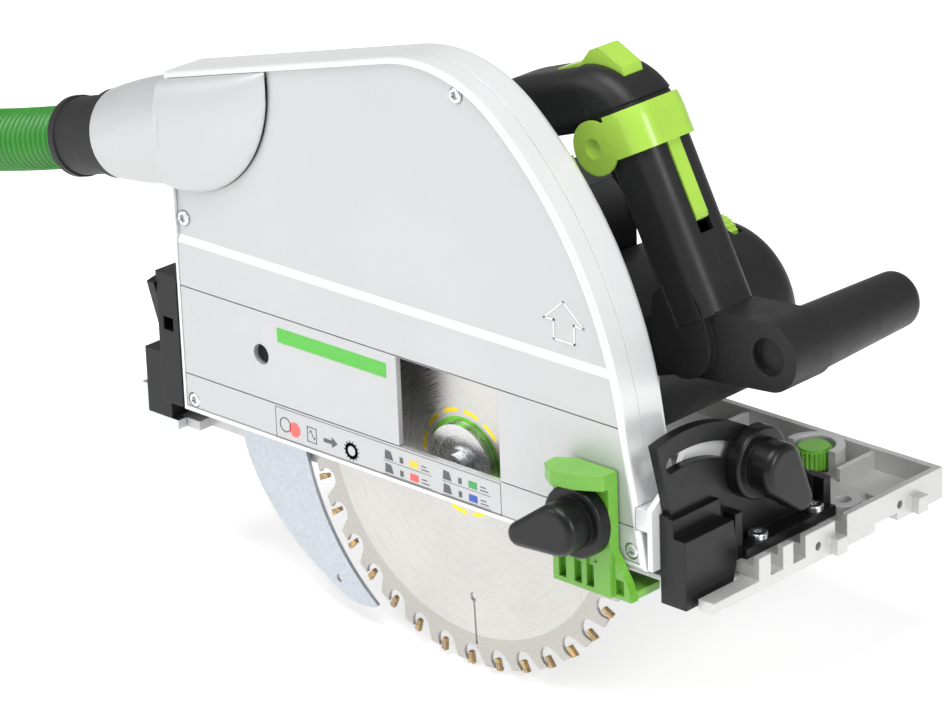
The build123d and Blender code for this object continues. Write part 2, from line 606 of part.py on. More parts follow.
def gearbox_housing():
    """Casting with the neck into the guard, the gear chamber, the swing arm and the stop finger."""
    case = slab(case_outline(0), by(CASE_Y[0]), by(CASE_Y[1]))
    case += slab(link(PIVOT, 13, (-20, 52), 26), by(CASE_Y[0]), by(ARM_Y))
    case += slab(link(MOTOR, 8, (94.6, 84.4), 4.5), by(16), by(23))
    case += rod_y(*FOOT_PAD, 12, by(ARM_Y), by(33))
    case -= slab(case_outline(-3), by(CASE_Y[0] + 3), by(CASE_Y[1]) + 1)
    case += rod_y(*ARBOR, NECK_R, by(NECK_Y), by(CASE_Y[0] + 4.5))
    case += rod_y(*IDLER, 12, by(CASE_Y[0]), by(19))
    case -= rod_y(*ARBOR, 9.5, by(0), by(20)) + rod_y(*ARBOR, BEARING_R, by(4.4), by(20))
    case -= rod_y(*IDLER, 9, by(14.6), by(20))
    case -= rod_y(*PIVOT, PIN_R + CLEAR, by(10), by(40))
    return case - rod_y(*FOOT_PAD, 2.0, by(20), by(35))


def gearbox_cover():
    lid = slab(case_outline(0), by(LID_Y[0]), by(LID_Y[1]))
    lid += rod_y(*IDLER, 12, by(40.2), by(LID_Y[0])) + rod_y(*MOTOR, 14, by(40.2), by(LID_Y[0]))
    lid -= rod_y(*IDLER, 9, by(40), by(44.2))
    return lid - rod_y(*MOTOR, 7.0, by(40), by(47)) - rod_y(*MOTOR, 11, by(40), by(44.2))


def motor_housing():
    """Field case: a tube with cooling slots towards its far end."""
    tube = tube_y(*MOTOR, MOTOR_R, MOTOR_R - TUBE_WALL, by(MOTOR_Y[0]), by(MOTOR_Y[1]))
    for i in range(7):
        slot = Pos(*MOTOR) * Rot(0, 0, 200 + 15 * i) * Pos(MOTOR_R, 0) * Rectangle(20, 4)
        tube -= slab(slot, by(92), by(122))
    for s in (-1, 1):
        tube -= rod_x(by(BRUSH_Y), MOTOR[1] - 8, 6.5, MOTOR[0] + s * 36 - 8, MOTOR[0] + s * 36 + 8)
    return tube


DIAL = (0.0, 34.5, 11.0)   # speed dial: offset from the motor axis and radius
DIAL_Y = (136.0, 142.0)


def motor_end_cap():
    """Domed end of the motor, with the rear bearing seat and the slot for the speed dial."""
    def profile(inset):
        r, y1, y2 = MOTOR_R - inset, MOTOR_Y[1], MOTOR_Y[2] - inset
        curve = [Line((0, y1), (r, y1)), Line((r, y1), (r, y1 + 10)), Line((0, y2), (0, y1))]
        bow = Spline((r, y1 + 10), (r - 5, y2 - 4.2), (r - 14, y2 - 0.3), tangents=[(0, 1), (-1, 0)])
        return make_face([*curve, bow, Line(bow @ 1, (0, y2))])
    def dome(inset):
        return revolve(profile(inset), Axis.Y)
    shell = dome(0) - dome(TUBE_WALL)
    seat = tube_y(0, 0, 12, 9, 127.5, MOTOR_Y[2] - TUBE_WALL + 1)
    shell += seat & rod_y(0, 0, 12, 127.5, MOTOR_Y[2] - 2)
    shell -= block((-2 - DIAL[2], DIAL[2] + 2), (DIAL_Y[0] - 0.5, DIAL_Y[1] + 0.5), (25, 50))
    shell += rod_y(0, DIAL[1], 2 - CLEAR, DIAL_Y[0] - 1.2, DIAL_Y[1] + 1.2)
    for i in range(5):
        shell -= block((-14, 14), (150, 160), (-27 + 5 * i, -24.6 + 5 * i))
    return Pos(MOTOR[0], BLADE_Y, MOTOR[1]) * shell


def speed_dial():
    wheel = Circle(DIAL[2] - 0.5)
    for i in range(24):
        wheel += Rot(0, 0, 15 * i) * (Pos(DIAL[2] - 0.6, 0) * Circle(0.6))
    return slab(Pos(MOTOR[0], MOTOR[1] + DIAL[1]) * (wheel - Circle(2)), by(DIAL_Y[0]), by(DIAL_Y[1]))


def brush_caps():
    caps = []
    for s in (-1, 1):
        cap = Cylinder(6.4, 5) - Pos(0, 0, 2.6) * Box(9, 1.6, 2)
        caps.append(Pos(MOTOR[0] + s * 41.4, by(BRUSH_Y), MOTOR[1] - 8) * Rot(0, 90 * s, 0) * cap)
    return Compound(caps)


LEG_TOP, LEG_LOW = (62.3, 213.4), (88.9, 161.2)    # corner over the leg, and a point down the leg
HANDLE_ROUTE = [(-70, 48), (-90, 134), (-44, 170), (6, 195), LEG_TOP, LEG_LOW, (111.5, 117)]
HANDLE_BENDS = [40, 60, 60, 19, 60]
HANDLE_CORNER = 9.0
SHELL = 3.0


def handle_bar(grow):
    """Solid of the handle's outer form, grown or shrunk all round."""
    path = FilletPolyline(*[(x, HANDLE_Y, z) for x, z in HANDLE_ROUTE], radius=HANDLE_BENDS)
    start = Plane(origin=path @ 0, x_dir=(0, 1, 0), z_dir=path % 0)
    section = RectangleRounded(HANDLE_W + 2 * grow, HANDLE_T + 2 * grow, HANDLE_CORNER + grow)
    return sweep(start * section, path=path)


def leg_frame():
    """Local +Z up the leg, +X to its front, origin on its centreline behind the quick lever."""
    up = Vector(LEG_TOP[0] - LEG_LOW[0], 0, LEG_TOP[1] - LEG_LOW[1]).normalized()
    across = (up.Z, 0, -up.X)
    origin = (LEG_TOP[0] - 17 * up.X, HANDLE_Y, LEG_TOP[1] - 17 * up.Z)
    return Plane(origin=origin, x_dir=across, z_dir=tuple(up)).location


def top_frame():
    """Local +Z out of the top of the handle, +X forwards, under the lock-off button."""
    a, b = HANDLE_ROUTE[3], HANDLE_ROUTE[4]
    ahead = Vector(b[0] - a[0], 0, b[1] - a[1]).normalized()
    origin = (b[0] - 13 * ahead.X, HANDLE_Y, b[1] - 13 * ahead.Z)
    return Plane(origin=origin, x_dir=tuple(ahead), z_dir=(-ahead.Z, 0, ahead.X)).location


def local(frame, x, y, z):
    return frame * block(x, y, z)


LEVER_Z = (-11.0, 9.5)
STRIP_Z, STRIP_HALF = -47.0, 4.0
KNUCKLE = (HANDLE_T / 2 - 1.6, STRIP_Z)   # where the lever hinges
TRIGGER_X, TRIGGER_Z, TRIGGER_HALF, TRIGGER_TRAVEL = (-22.5, -10.0), (-42.0, -14.0), 7.0, 5.0
BUTTON_X, BUTTON_HALF, BUTTON_TRAVEL = (-21.0, 19.0), 6.5, 3.0
HANDLE_SCREWS = [(-84, 108), (-60, 157.5), (100.5, 138)]


def handle_shell(outer_side):
    """Half of the handle, split at its centre plane."""
    leg, top = leg_frame(), top_frame()
    shell = handle_bar(0) - handle_bar(-SHELL)
    button_gap = (-BUTTON_HALF - 0.5, BUTTON_HALF + 0.5)
    shell -= local(top, (BUTTON_X[0] - 0.5, BUTTON_X[1] + 0.5), button_gap, (2.5, 26))
    trigger_gap = (-TRIGGER_HALF - 0.5, TRIGGER_HALF + 0.5)
    shell -= local(leg, (-24, -9), trigger_gap, (TRIGGER_Z[0] - 0.6, TRIGGER_Z[1] + 0.6))
    groove = (-STRIP_HALF - 0.5, STRIP_HALF + 0.5)
    shell -= local(leg, (HANDLE_T / 2 - 4.2, 24), groove, (STRIP_Z - 8, LEVER_Z[0] + 4))
    shell -= Pos(-106, HANDLE_Y, INLET_Z) * Rot(0, 90, 0) * Cylinder(INLET_R, 30)
    half = block((-140, 160), (HANDLE_Y - 40, HANDLE_Y) if outer_side else (HANDLE_Y, HANDLE_Y + 40), (0, 260))
    shell = shell & half
    for x, z in HANDLE_SCREWS:
        boss = rod_y(x, z, 4.5, HANDLE_Y - 15.5, HANDLE_Y + 15.5) & half
        shell += boss
        shell -= rod_y(x, z, 1.5, HANDLE_Y - 12, HANDLE_Y + 18)
        shell -= rod_y(x, z, 4.2, HANDLE_Y + 13, HANDLE_Y + 18)
    return shell


INLET_Z, INLET_R = 106.0, 11.0


def power_inlet():
    """Socket that the mains lead plugs into, at the back of the handle."""
    cup = Cylinder(INLET_R, 26) - Pos(0, 0, -6) * Cylinder(8.6, 22)
    socket = Pos(-105, HANDLE_Y, INLET_Z) * Rot(0, 90, 0) * cup
    pins = [Pos(-104, HANDLE_Y + s * 3.5, INLET_Z) * Rot(0, 90, 0) * Cylinder(1.6, 20) for s in (-1, 1)]
    return socket + pins[0] + pins[1]


def handle_screws():
    long_screw = screw(4.0, 2.4, 1.45, 24)
    return Compound([facing(x, HANDLE_Y + 15.4, z, (0, 1, 0)) * long_screw for x, z in HANDLE_SCREWS])


def handle_cap():
    """Raised collar over the handle's front bend, ahead of the lock-off button."""
    leg, top = leg_frame(), top_frame()
    collar = handle_bar(0.8) - handle_bar(0)
    collar = collar & local(leg, (-13, 30), (-30, 30), (LEVER_Z[1] + 2.2, 40))
    slot = (-BUTTON_HALF - 0.5, BUTTON_HALF + 0.5)
    collar -= local(top, (BUTTON_X[0] - 0.5, BUTTON_X[1] + 0.5), slot, (0, 40))
    return collar.solids().sort_by(SortBy.VOLUME)[-1]


def lock_off_button():
    """Thumb button in the top of the handle: a low ramp behind a tall crown."""
    top = top_frame()
    rear, end = BUTTON_X
    ramp = poly((rear, 13.5), (rear, 15.6), (-5, 16.8), (2, 21.6), (8, 22.2), (end, 11.5), (end, 3.6), (4, 9.5))
    body = top * Pos(0, BUTTON_HALF, 0) * extrude(Plane.XZ * ramp, amount=2 * BUTTON_HALF)
    return body + local(top, (rear, 5), (-BUTTON_HALF, BUTTON_HALF), (10.5, 13.6))


def trigger_switch():
    """Finger trigger in the back of the leg."""
    shoe = local(leg_frame(), TRIGGER_X, (-TRIGGER_HALF, TRIGGER_HALF), TRIGGER_Z)
    hollow = leg_frame() * Pos(-41, 0, (TRIGGER_Z[0] + TRIGGER_Z[1]) / 2) * Rot(90, 0, 0) * Cylinder(21, 40)
    return shoe - hollow


def switch_module():
    """Switch behind the trigger, with its leads' terminal block."""
    leg = leg_frame()
    return local(leg, (-4.4, 9), (-9, 9), (-46, -16)) + local(leg, (-4, 8), (-7, 7), (-16, -6))


def electronics_module():
    a, b = HANDLE_ROUTE[2], HANDLE_ROUTE[3]
    ahead = Vector(b[0] - a[0], 0, b[1] - a[1]).normalized()
    place = Plane(origin=((a[0] + b[0]) / 2 + 8, HANDLE_Y, (a[1] + b[1]) / 2 + 8 * ahead.Z / ahead.X),
                  x_dir=tuple(ahead), z_dir=(-ahead.Z, 0, ahead.X)).location
    return place * Pos(0, 0, 1) * Box(30, 18, 11)


def quick_lever():
    """Blade-change lever: a band over the leg's front, a thumb dish and a strip in the leg's groove."""
    leg = leg_frame()
    band = handle_bar(2.6) - handle_bar(1.15)
    band = band & local(leg, (-3, 26), (-24, 24), LEVER_Z)
    band = band.solids().sort_by(SortBy.VOLUME)[-1]
    cheek = leg * Pos(-14, -HANDLE_W / 2 - 1.15, -2.4) * Rot(90, 0, 0) * Cylinder(13, 1.45)
    cheek = Pos(0, -0.725, 0) * cheek
    flank = (-HANDLE_W / 2 - 2.6, -HANDLE_W / 2 - 1.15)
    bridge = local(leg, (-14, -2.9), flank, (LEVER_Z[0] + 0.5, LEVER_Z[1] - 2))
    dish = leg * Pos(-15, -HANDLE_W / 2 - 11.6, -2.4) * Sphere(10.2)
    face = HANDLE_T / 2
    strip = local(leg, (face - 2.9, face + 0.8), (-STRIP_HALF, STRIP_HALF), (STRIP_Z, LEVER_Z[0] + 0.01))
    strip += local(leg, (face - 2.9, face + 1.6), (-STRIP_HALF, STRIP_HALF), (LEVER_Z[0], LEVER_Z[0] + 3.4))
    knuckle = leg * Pos(KNUCKLE[0], 0, KNUCKLE[1]) * Rot(90, 0, 0) * Cylinder(2.2, 2 * STRIP_HALF)
    return band + (cheek + bridge - dish) + strip + knuckle


def intake_cowl():
    """Louvred air intake on the side of the motor, behind the handle."""
    outline = poly((-40, 70), (10, 70), (10, 147), (-22, 147), (-48, 128), (-48, 82))
    def box(inset):
        form = slab(offset(outline, -inset), by(69.5 + inset), by(112 - inset))
        return form - rod_y(*MOTOR, MOTOR_R + CLEAR + inset, by(60), by(120))
    shell = box(0) - box(2.5)
    for i in range(6):
        shell -= block((-52, -42), (by(76), by(106)), (86 + 7 * i, 89 + 7 * i))
    return shell.solids().sort_by(SortBy.VOLUME)[-1]


def front_grip():
    """Second handle: boss on the motor, arm to the front and a round grip across the saw."""
    low, foot = (106.0, 106.0), (104.0, 119.0)
    hub = slab(link(low, 17, foot, 15.5), HANDLE_Y - HANDLE_W / 2 + 0.2, HANDLE_Y + HANDLE_W / 2 - 0.2)
    arm = slab(link(low, 17, GRIP, 16.5), by(37), by(63)) + slab(link(low, 16, (72, 92), 13), by(40), by(60))
    arm = arm + hub - rod_y(*MOTOR, MOTOR_R, by(0), by(200)) - handle_bar(0) - slab(case_outline(0), by(0), by(45))
    arm = arm.solids().sort_by(SortBy.VOLUME)[-1]
    grip = loft([side(by(y)) * (Pos(*GRIP) * Circle(r)) for y, r in zip((62, 133), GRIP_R)])
    grip = fillet(grip.edges().sort_by(Axis.Y)[-1], 6)
    return arm + grip - rod_y(*GRIP, 9, by(36), by(41))


def bearings():
    rows = [
        (ARBOR, SHAFT_R, BEARING_R, 4.5, 10.5), (ARBOR, SHAFT_R, BEARING_R, 12.0, 18.0),
        (IDLER, 5.0, 9.0, 14.7, 18.7), (IDLER, 5.0, 9.0, 40.2, 44.1),
        (MOTOR, 5.0, 11.0, 40.3, 44.1), (MOTOR, 5.0, 9.0, 128.0, 134.0),
    ]
    rings = []
    for centre, inner, outer, y0, y1 in rows:
        ring = tube_y(*centre, outer, inner + CLEAR, by(y0), by(y1))
        middle = (inner + outer) / 2
        rings.append(ring - tube_y(*centre, middle + 0.8, middle - 0.8, by(y0) - 1, by(y0) + 0.7))
    return Compound(rings)


def motor_stator():
    """Field pack on the inside of the motor case."""
    ring = Circle(MOTOR_R - TUBE_WALL) - Circle(27)
    for s in (-1, 1):
        ring -= Pos(0, s * 29) * Rectangle(18, 9)
    return slab(Pos(*MOTOR) * ring, by(64), by(112))


# ---- Spindles, blade and riving knife ----------------------------------------------------
def arbor_shaft():
    """Spindle with the inner blade flange forged on."""
    shaft = rod_y(*ARBOR, SHAFT_R, by(3), by(30)) + rod_y(*ARBOR, 20, by(0.9), by(3.2))
    return shaft + rod_y(*ARBOR, 10, by(-0.9), by(0.9)) - rod_y(*ARBOR, 4.0, by(-2), by(20))


def arbor_gear():
    return Pos(ARBOR[0], by(25), ARBOR[1]) * gear(*GEAR_1[:2], 9, SHAFT_R, phase=degrees(MOTOR_DIR))


def idler_gear():
    """Intermediate shaft: small pinion to the arbor wheel, large wheel to the rotor pinion."""
    small_phase = 180 / GEAR_1[2] + degrees(MOTOR_DIR) + 180
    pinion = Pos(IDLER[0], by(25), IDLER[1]) * gear(GEAR_1[0], GEAR_1[2], 10, 0, phase=small_phase)
    wheel = Pos(IDLER[0], by(35), IDLER[1]) * gear(GEAR_2[0], GEAR_2[1], 8, 0, phase=degrees(MOTOR_DIR))
    return pinion + wheel + rod_y(*IDLER, 5, by(14.8), by(44))


def rotor():
    phase = 180 / GEAR_2[2] + degrees(MOTOR_DIR) + 180
    pinion = Pos(MOTOR[0], by(35), MOTOR[1]) * gear(GEAR_2[0], GEAR_2[2], 8, 0, phase=phase)
    core = rod_y(*MOTOR, 25, by(66), by(110)) + rod_y(*MOTOR, 12, by(113), by(126))
    return pinion + core + rod_y(*MOTOR, 5, by(31), by(134.4))


def cooling_fan():
    """Radial fan behind the gearbox lid."""
    disc = Circle(33) - Circle(5)
    fan = slab(Pos(*MOTOR) * disc, by(50), by(52))
    for i in range(12):
        blade = Pos(*MOTOR) * Rot(0, 0, 30 * i) * (Pos(21, 0) * Rectangle(22, 1.6))
        fan += slab(blade, by(51.9), by(60))
    return fan + tube_y(*MOTOR, 9, 5, by(51.9), by(60))


def saw_blade():
    """Disc with a gullet and a tipped tooth per pitch, and four expansion slots."""
    root, notch = BLADE_R - 11.0, 5.2
    disc = Circle(BLADE_R - 1.0)
    pitch = 360 / TEETH
    for i in range(TEETH):
        throat = poly(
            (BLADE_R - 9, 4.2), (BLADE_R + 4, 11.8), (BLADE_R + 4, -3), (BLADE_R - 7, -4.4),
        )
        gullet = Pos(BLADE_R - 5.5, 0) * Circle(notch) + throat
        disc -= Rot(0, 0, pitch * i) * gullet
    for i in range(4):
        slot = Pos(root - 13, 0) * Rectangle(25, 1.2) + Pos(root - 25, 0) * Circle(2.4)
        disc -= Rot(0, 0, pitch * (9 * i) + 2.0) * slot
    disc -= Circle(10.0)
    return Pos(0, 0, ARBOR_Z) * slab(disc, by(-0.9), by(0.9))


def carbide_tips():
    """One brazed tip on the leading face of each tooth."""
    pitch = 360 / TEETH
    tip = poly((BLADE_R - 6.0, -0.1), (BLADE_R, 0.5), (BLADE_R - 0.4, -2.4), (BLADE_R - 6.2, -2.2))
    tips = [Pos(0, 0, ARBOR_Z) * slab(Rot(0, 0, pitch * i) * tip, by(-1.2), by(1.2)) for i in range(TEETH)]
    return Compound(tips)


def outer_flange():
    ring = tube_y(*ARBOR, 20, 4.05, by(-4.9), by(-0.9))
    ring = ring - tube_y(*ARBOR, 14, 9, by(-5.0), by(-4.3))
    return ring


def blade_screw():
    head = slab(Pos(*ARBOR) * (Circle(6.2) - RegularPolygon(3.4, 6)), by(-9), by(-5.9))
    return head + rod_y(*ARBOR, 8.5, by(-5.9), by(-4.9)) + rod_y(*ARBOR, 4.0, by(-5.9), by(18))


KNIFE_PINS = [ACCESS, (-123.0, 50.0)]


def riving_knife():
    """Curved steel knife behind the blade, wide at the guard and narrow at its rounded tip."""
    at = lambda r, t: (ARBOR[0] + r * cos(radians(t)), ARBOR[1] + r * sin(radians(t)))
    outer = Spline(at(145.5, 162), at(151, 177), at(154, 190), at(148, 202), at(138, 214), at(127.5, 226.5))
    inner = ThreePointArc(at(112.5, 235.5), at(110.5, 200), at(110, 166))
    nose = Spline(at(127.5, 226.5), at(119, 233.5), at(112.5, 235.5), tangents=[outer % 1, inner % 0])
    blank = make_face([outer.edge(), nose.edge(), inner.edge(), Line(at(110, 166), at(145.5, 162)).edge()])
    blank -= Pos(-88.7, -56) * Circle(2.0)
    for x, z in KNIFE_PINS:
        blank -= Pos(x, z) * Circle(3.0)
    return slab(blank, by(-1.0), by(1.0))


def knife_carrier():
    """Ring round the gearbox neck with an arm, a spacer and a clamp screw for the knife."""
    arm = Circle(24.6) + Pos(-ARBOR[0], -ARBOR[1]) * link(ARBOR, 16, ACCESS, 10)
    plate = slab(Pos(*ARBOR) * (arm - Circle(NECK_R + CLEAR)), by(5.4), by(8.4))
    plate += rod_y(*ACCESS, 10, by(1), by(8.4)) + rod_y(*KNIFE_PINS[1], 5, by(1), by(8.4))
    plate += rod_y(*KNIFE_PINS[1], 3.0, by(-1), by(1.1))
    return plate - rod_y(*ACCESS, 3.0, by(-1), by(8.4))


# ---- Pivot and depth stop --------------------------------------------------------
def pivot_pin():
    return rod_y(*PIVOT, PIN_R, by(3.0), by(31.5)) + rod_y(*PIVOT, 8.0, by(31.5), by(33.5))


STOP_MID, STOP_SWEEP = 5.0, 34.0


def depth_scale():
    """Graduated arc on the back of the guard."""
    arc = ring_sector(PIVOT, 240, 254, -1.5, STOP_SWEEP)
    for i in range(15):
        t = radians(1 + 2.2 * i)
        arc -= Pos(PIVOT[0] + 250 * cos(t), PIVOT[1] + 250 * sin(t)) * Rot(0, 0, degrees(t)) * Rectangle(5, 0.7)
    return slab(arc, by(12), by(13.8))


def depth_stop():
    """Slider on the arc; the finger on the gearbox comes down on it."""
    shoe = ring_sector(PIVOT, 238, 256, STOP_MID - 2.4, STOP_MID + 1.6)
    slider = slab(shoe, by(14.1), by(22))
    return slider


# ---- Write every piece -------------------------------------------------------------------
PIECES = [
    ("guard_rim", guard_rim), ("guard_cover", guard_cover), ("window_panel", window_panel),
    ("lower_strip", lower_strip), ("guard_housing", guard_housing), ("dust_dome", dust_dome),
    ("cover_screws", cover_screws), ("front_trunnion", front_trunnion),
    ("rear_trunnion", rear_trunnion), ("clamp_studs", clamp_studs), ("pivot_pin", pivot_pin),
    ("depth_scale", depth_scale), ("depth_stop", depth_stop), ("segment_front", segment_front),
    ("segment_rear", segment_rear), ("segment_screws", segment_screws), ("base_plate", base_plate),
    ("glide_strips", glide_strips), ("rear_foot", rear_foot),
    ("rail_adjuster_front", lambda: rail_adjuster(KNOB_X[0])),
    ("rail_adjuster_rear", lambda: rail_adjuster(KNOB_X[1])),
    ("front_clamp_knob", lambda: clamp_knob(FRONT_KNOB)), ("rear_clamp_knob", lambda: clamp_knob(REAR_KNOB)),
    ("splinter_knob", lambda: clamp_knob(SPLINTER_KNOB)), ("splinter_guard", splinter_guard),
    ("dust_connector", dust_connector), ("suction_hose", suction_hose), ("hose_end_sleeve", end_sleeve),
    ("gearbox_housing", gearbox_housing), ("gearbox_cover", gearbox_cover), ("motor_housing", motor_housing),
    ("motor_end_cap", motor_end_cap), ("speed_dial", speed_dial),
    ("brush_caps", brush_caps), ("handle_left", lambda: handle_shell(True)),
    ("handle_right", lambda: handle_shell(False)), ("handle_screws", handle_screws),
    ("handle_cap", handle_cap), ("power_inlet", power_inlet), ("lock_off_button", lock_off_button),
    ("trigger", trigger_switch), ("switch_module", switch_module),
    ("electronics_module", electronics_module), ("quick_lever", quick_lever),
    ("intake_cowl", intake_cowl), ("front_grip", front_grip),
    ("bearings", bearings), ("motor_stator", motor_stator), ("arbor_shaft", arbor_shaft),
    ("arbor_gear", arbor_gear), ("idler_gear", idler_gear), ("rotor", rotor), ("cooling_fan", cooling_fan),
    ("saw_blade", saw_blade), ("carbide_tips", carbide_tips), ("outer_flange", outer_flange),
    ("blade_screw", blade_screw), ("riving_knife", riving_knife), ("knife_carrier", knife_carrier),
]
for name, make in PIECES:
    save(name, make())
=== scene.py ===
import json
import math

import bmesh
import bpy
from mathutils import Matrix, Vector


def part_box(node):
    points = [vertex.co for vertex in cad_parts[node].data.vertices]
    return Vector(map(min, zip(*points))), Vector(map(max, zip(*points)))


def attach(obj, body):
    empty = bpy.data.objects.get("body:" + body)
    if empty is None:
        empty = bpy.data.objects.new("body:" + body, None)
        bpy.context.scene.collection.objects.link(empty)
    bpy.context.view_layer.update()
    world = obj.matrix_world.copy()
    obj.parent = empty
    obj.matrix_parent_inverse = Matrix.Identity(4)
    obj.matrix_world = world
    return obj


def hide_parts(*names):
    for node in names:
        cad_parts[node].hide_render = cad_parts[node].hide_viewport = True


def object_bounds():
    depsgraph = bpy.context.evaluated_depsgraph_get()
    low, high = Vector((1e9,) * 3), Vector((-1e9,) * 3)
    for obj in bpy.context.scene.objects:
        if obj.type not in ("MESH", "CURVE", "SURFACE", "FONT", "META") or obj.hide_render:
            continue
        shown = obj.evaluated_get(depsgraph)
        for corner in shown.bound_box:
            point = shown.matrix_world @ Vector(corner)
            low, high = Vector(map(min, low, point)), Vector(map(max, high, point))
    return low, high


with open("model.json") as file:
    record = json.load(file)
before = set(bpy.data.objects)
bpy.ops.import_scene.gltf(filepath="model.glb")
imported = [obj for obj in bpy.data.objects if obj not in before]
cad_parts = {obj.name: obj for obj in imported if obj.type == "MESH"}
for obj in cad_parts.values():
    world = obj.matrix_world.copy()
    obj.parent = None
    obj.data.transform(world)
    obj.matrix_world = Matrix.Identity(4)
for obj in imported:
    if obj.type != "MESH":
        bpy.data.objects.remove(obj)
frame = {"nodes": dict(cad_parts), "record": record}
cad_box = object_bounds()
NODES = frame["nodes"]
MM = 0.001
CREASE_Z = 107.2 * MM    # middle of the cover's pressed crease
COVER_FACE_Y = -97.5     # outer face of the cover and the strip, millimetres
ARROW_FACE_Y = -96.1     # outer face under the raised arrow, millimetres
FLOOR_GAP = 0.002        # the floor lies this far below the blade, metres

# ---- Places taken from the frame, metres --------------------------------------------------
flange_low, flange_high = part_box("outer_flange")
ARBOR = (flange_low + flange_high) / 2
BLADE_Y = (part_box("saw_blade")[0].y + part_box("saw_blade")[1].y) / 2


# ---- Camera, light, floor -------------------------------------------------------------------
def place_camera():
    """The main view: a long lens, 44 degrees round from the front and 22 above."""
    azimuth, elevation, roll = (math.radians(a) for a in (44.15, 22.1, 2.12))
    back = Vector((
        math.sin(azimuth) * math.cos(elevation),
        -math.cos(azimuth) * math.cos(elevation),
        math.sin(elevation),
    ))
    right = (-back).cross(Vector((0, 0, 1))).normalized()
    down = (-back).cross(right)
    turned_right = math.cos(roll) * right + math.sin(roll) * down
    turned_down = -math.sin(roll) * right + math.cos(roll) * down
    data = bpy.data.cameras.new("camera")
    data.sensor_width = 36.0
    data.lens = 170.5
    data.clip_start, data.clip_end = 0.1, 20.0
    camera = bpy.data.objects.new("camera", data)
    bpy.context.scene.collection.objects.link(camera)
    camera.matrix_world = Matrix.Translation((1.3535, -1.4659, 0.8696)) @ Matrix((
        (turned_right.x, -turned_down.x, back.x, 0),
        (turned_right.y, -turned_down.y, back.y, 0),
        (turned_right.z, -turned_down.z, back.z, 0),
        (0, 0, 0, 1),
    ))
    bpy.context.scene.camera = camera


def area_light(name, place, target, size, power, colour=(1, 1, 1)):
    data = bpy.data.lights.new(name, "AREA")
    data.shape = "RECTANGLE"
    data.size, data.size_y = size
    data.energy = power
    data.color = colour
    light = bpy.data.objects.new(name, data)
    bpy.context.scene.collection.objects.link(light)
    light.location = place
    light.rotation_mode = "QUATERNION"
    light.rotation_quaternion = (Vector(target) - Vector(place)).to_track_quat("-Z", "Y")


def studio():
    """A pale sweep under the saw, a bright overhead box and two softer side boxes."""
    bpy.context.scene.view_settings.view_transform = "Standard"
    world = bpy.data.worlds.new("studio")
    bpy.context.scene.world = world
    world.use_nodes = True
    world.node_tree.nodes["Background"].inputs[0].default_value = (1, 1, 1, 1)
    world.node_tree.nodes["Background"].inputs[1].default_value = 0.42
    area_light("top_box", (0.0, -0.75, 1.9), (0, 0, 0.05), (1.5, 1.0), 34)
    area_light("left_box", (-1.3, -1.7, 1.0), (-0.05, -0.05, 0.1), (1.0, 1.0), 13)
    area_light("front_box", (2.1, -0.2, 1.0), (0.1, 0.0, 0.1), (0.6, 1.2), 26)
    bm = bmesh.new()
    bmesh.ops.create_grid(bm, x_segments=2, y_segments=2, size=6.0)
    floor = add_mesh("floor", bm)
    floor.data.transform(Matrix.Translation((0, 0, cad_box[0].z - FLOOR_GAP)))
    surface = Surface("studio_floor", (0.86, 0.86, 0.86), 0.9)
    surface.set("Emission Color", (1, 1, 1, 1))
    surface.set("Emission Strength", 0.4)
    surface.vary_colour(surface.noise(3.0, 2.0), 0.02)
    floor.data.materials.append(surface.material)


# ---- Mesh helpers -------------------------------------------------------------------------------
def add_mesh(name, bm, smooth=True):
    """Turns a bmesh into an object in the row frame."""
    bmesh.ops.recalc_face_normals(bm, faces=bm.faces)
    mesh = bpy.data.meshes.new(name)
    bm.to_mesh(mesh)
    bm.free()
    if smooth:
        for face in mesh.polygons:
            face.use_smooth = True
    item = bpy.data.objects.new(name, mesh)
    bpy.context.scene.collection.objects.link(item)
    return item


